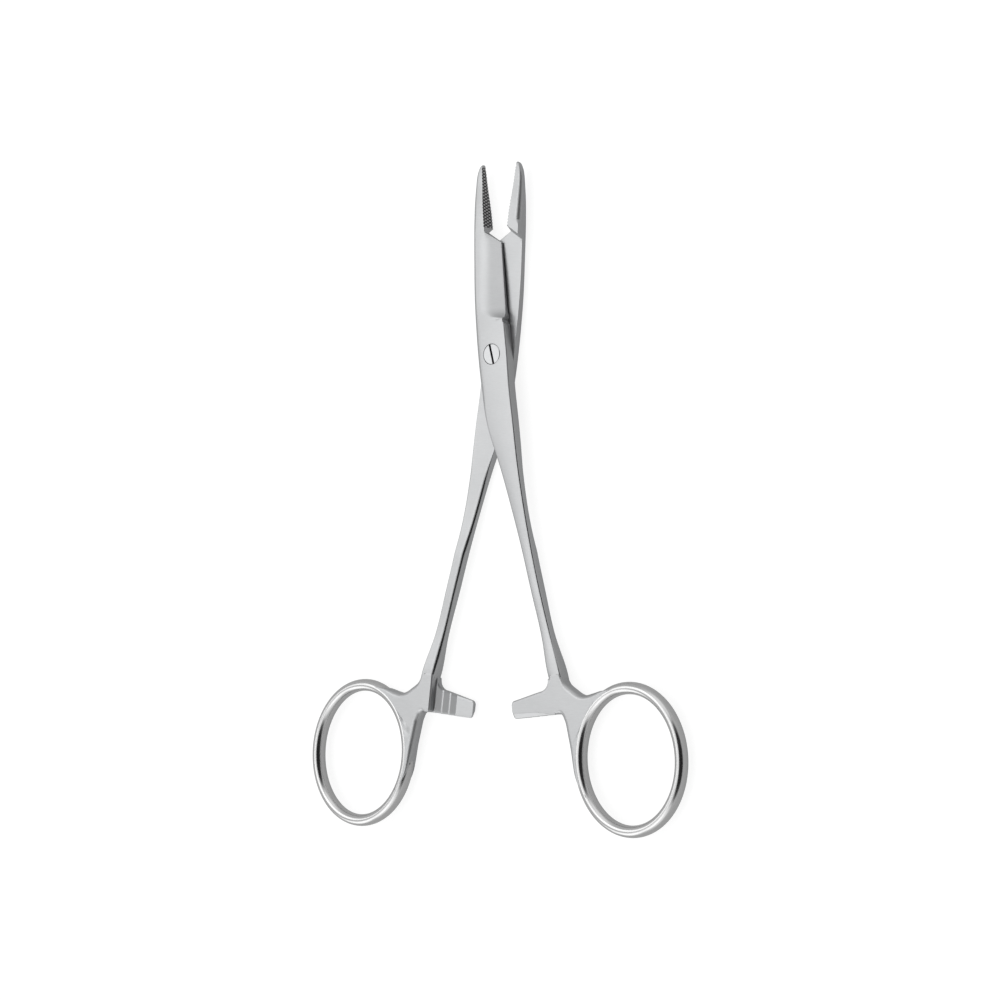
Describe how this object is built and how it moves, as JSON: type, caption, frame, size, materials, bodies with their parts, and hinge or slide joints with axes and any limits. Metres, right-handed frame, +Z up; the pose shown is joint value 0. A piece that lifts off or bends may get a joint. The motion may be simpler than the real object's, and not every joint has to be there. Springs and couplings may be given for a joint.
{
  "type": "surgical needle holder",
  "caption": "Ring-handled surgical needle holder with serrated jaws, scissor blades behind them, a screw joint and a ratchet between the shanks.",
  "frame": {"origin": "on the pivot axis, at the underside of the joint where the instrument rests", "axes": "+Y towards the tips of the jaws, +Z up along the screw towards its slotted head, +X to the right seen from above with the tips away"},
  "size_m": [0.0958, 0.1361, 0.0045],
  "materials": {
    "satin_steel": "satin flats with polished finger rings",
    "screw_steel": "satin, flush with the joint"
  },
  "bodies": {
    "front": {"front_half": "satin_steel"},
    "back": {"back_half": "satin_steel", "joint_screw": "screw_steel"}
  },
  "joints": [
    {"name": "screw_joint", "type": "hinge", "parent": "back", "child": "front", "pos_m": [0, 0, 0.00225], "axis": [0, 0, 1], "range_deg": [-12.8, 32]}
  ]
}
